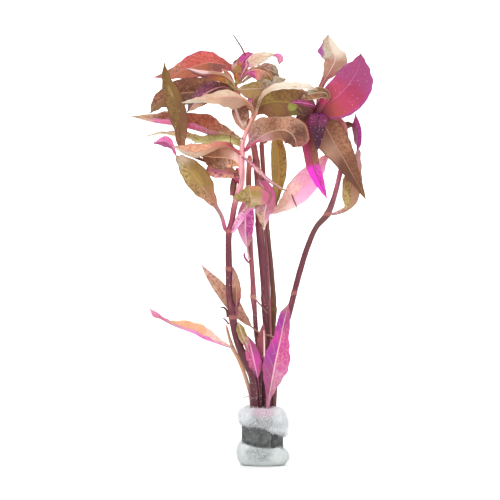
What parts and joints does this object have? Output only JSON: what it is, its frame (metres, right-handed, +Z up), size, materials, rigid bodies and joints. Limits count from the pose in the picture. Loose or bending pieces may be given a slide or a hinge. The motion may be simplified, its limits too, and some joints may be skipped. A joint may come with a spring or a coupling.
{
  "type": "bunch of cut aquarium plant stems",
  "caption": "Upright bunch of cut red-leaved alternanthera stems, pinched in a white floss plug by a wrapped soft metal strip, with folded and twisted pink, orange and olive leaves.",
  "frame": {"origin": "centre of the flat foot of the floss plug", "axes": "+Z up the stems, -Y the side that most leaves face, +X to the right seen from that side"},
  "size_m": [0.1207, 0.0343, 0.2155],
  "materials": {
    "floss_white": "matt white floss, fibrous",
    "strip_grey": "dull grey soft metal, hand-pinched",
    "stem_plum": "waxy plum-brown stem",
    "stem_pale": "waxy brown-pink stem",
    "leaf_orange": "orange-brown leaf, hot pink underside",
    "leaf_rose": "rose leaf",
    "leaf_brown": "brown leaf, pink underside",
    "leaf_plum": "dark plum leaf",
    "leaf_olive": "olive-gold leaf, magenta underside",
    "leaf_green": "yellow-green leaf, pink underside",
    "leaf_cream": "cream young leaf",
    "leaf_magenta": "magenta leaf underside",
    "leaf_pale_pink": "pale translucent pink leaf"
  },
  "bodies": {
    "root": {"floss_plug": "floss_white", "metal_strip": "strip_grey", "stem_left": "stem_plum", "stem_left_thin": "stem_plum", "stem_front": "stem_plum", "stem_middle": "stem_plum", "stem_middle_thin": "stem_plum", "stem_back": "stem_pale", "stem_right": "stem_plum", "leaf_left_top": "leaf_orange", "leaf_left_top_folded": "leaf_rose", "leaf_left_brown": "leaf_brown", "leaf_left_purple": "leaf_plum", "leaf_left_hanging": "leaf_olive", "leaf_left_long": "leaf_orange", "leaf_left_narrow": "leaf_green", "leaf_left_wavy": "leaf_orange", "leaf_left_red": "leaf_brown", "leaf_left_fold": "leaf_rose", "leaf_left_olive": "leaf_olive", "leaf_front_green": "leaf_green", "leaf_front_cream": "leaf_cream", "leaf_front_tan": "leaf_cream", "leaf_front_bud": "leaf_rose", "leaf_front_olive": "leaf_olive", "leaf_front_brown": "leaf_brown", "leaf_front_strap": "leaf_rose", "leaf_center_olive": "leaf_olive", "leaf_center_rose": "leaf_rose", "leaf_center_magenta": "leaf_magenta", "leaf_center_pale_pink": "leaf_pale_pink", "leaf_crown_grey_green": "leaf_green", "leaf_crown_top_cream": "leaf_cream", "leaf_crown_magenta": "leaf_magenta", "leaf_crown_tan": "leaf_cream", "leaf_crown_orange": "leaf_orange", "leaf_crown_pink": "leaf_rose", "leaf_crown_arching": "leaf_magenta", "leaf_crown_brown_tip": "leaf_brown", "leaf_crown_stalk_left": "leaf_cream", "leaf_right_top_magenta": "leaf_magenta", "leaf_right_top_cream": "leaf_cream", "leaf_right_curl": "leaf_cream", "leaf_right_cream": "leaf_cream", "leaf_right_bud": "leaf_magenta", "leaf_right_dark": "leaf_plum", "leaf_right_speckled": "leaf_plum", "leaf_right_neon": "leaf_magenta", "leaf_right_brown": "leaf_brown", "leaf_right_olive": "leaf_olive", "leaf_right_small_green": "leaf_green", "leaf_low_left_narrow": "leaf_orange", "leaf_low_rosy": "leaf_rose", "leaf_low_salmon": "leaf_rose", "leaf_low_green": "leaf_green", "leaf_low_magenta": "leaf_magenta", "leaf_low_plum": "leaf_plum", "leaf_low_large_pink": "leaf_magenta"}
  },
  "joints": []
}
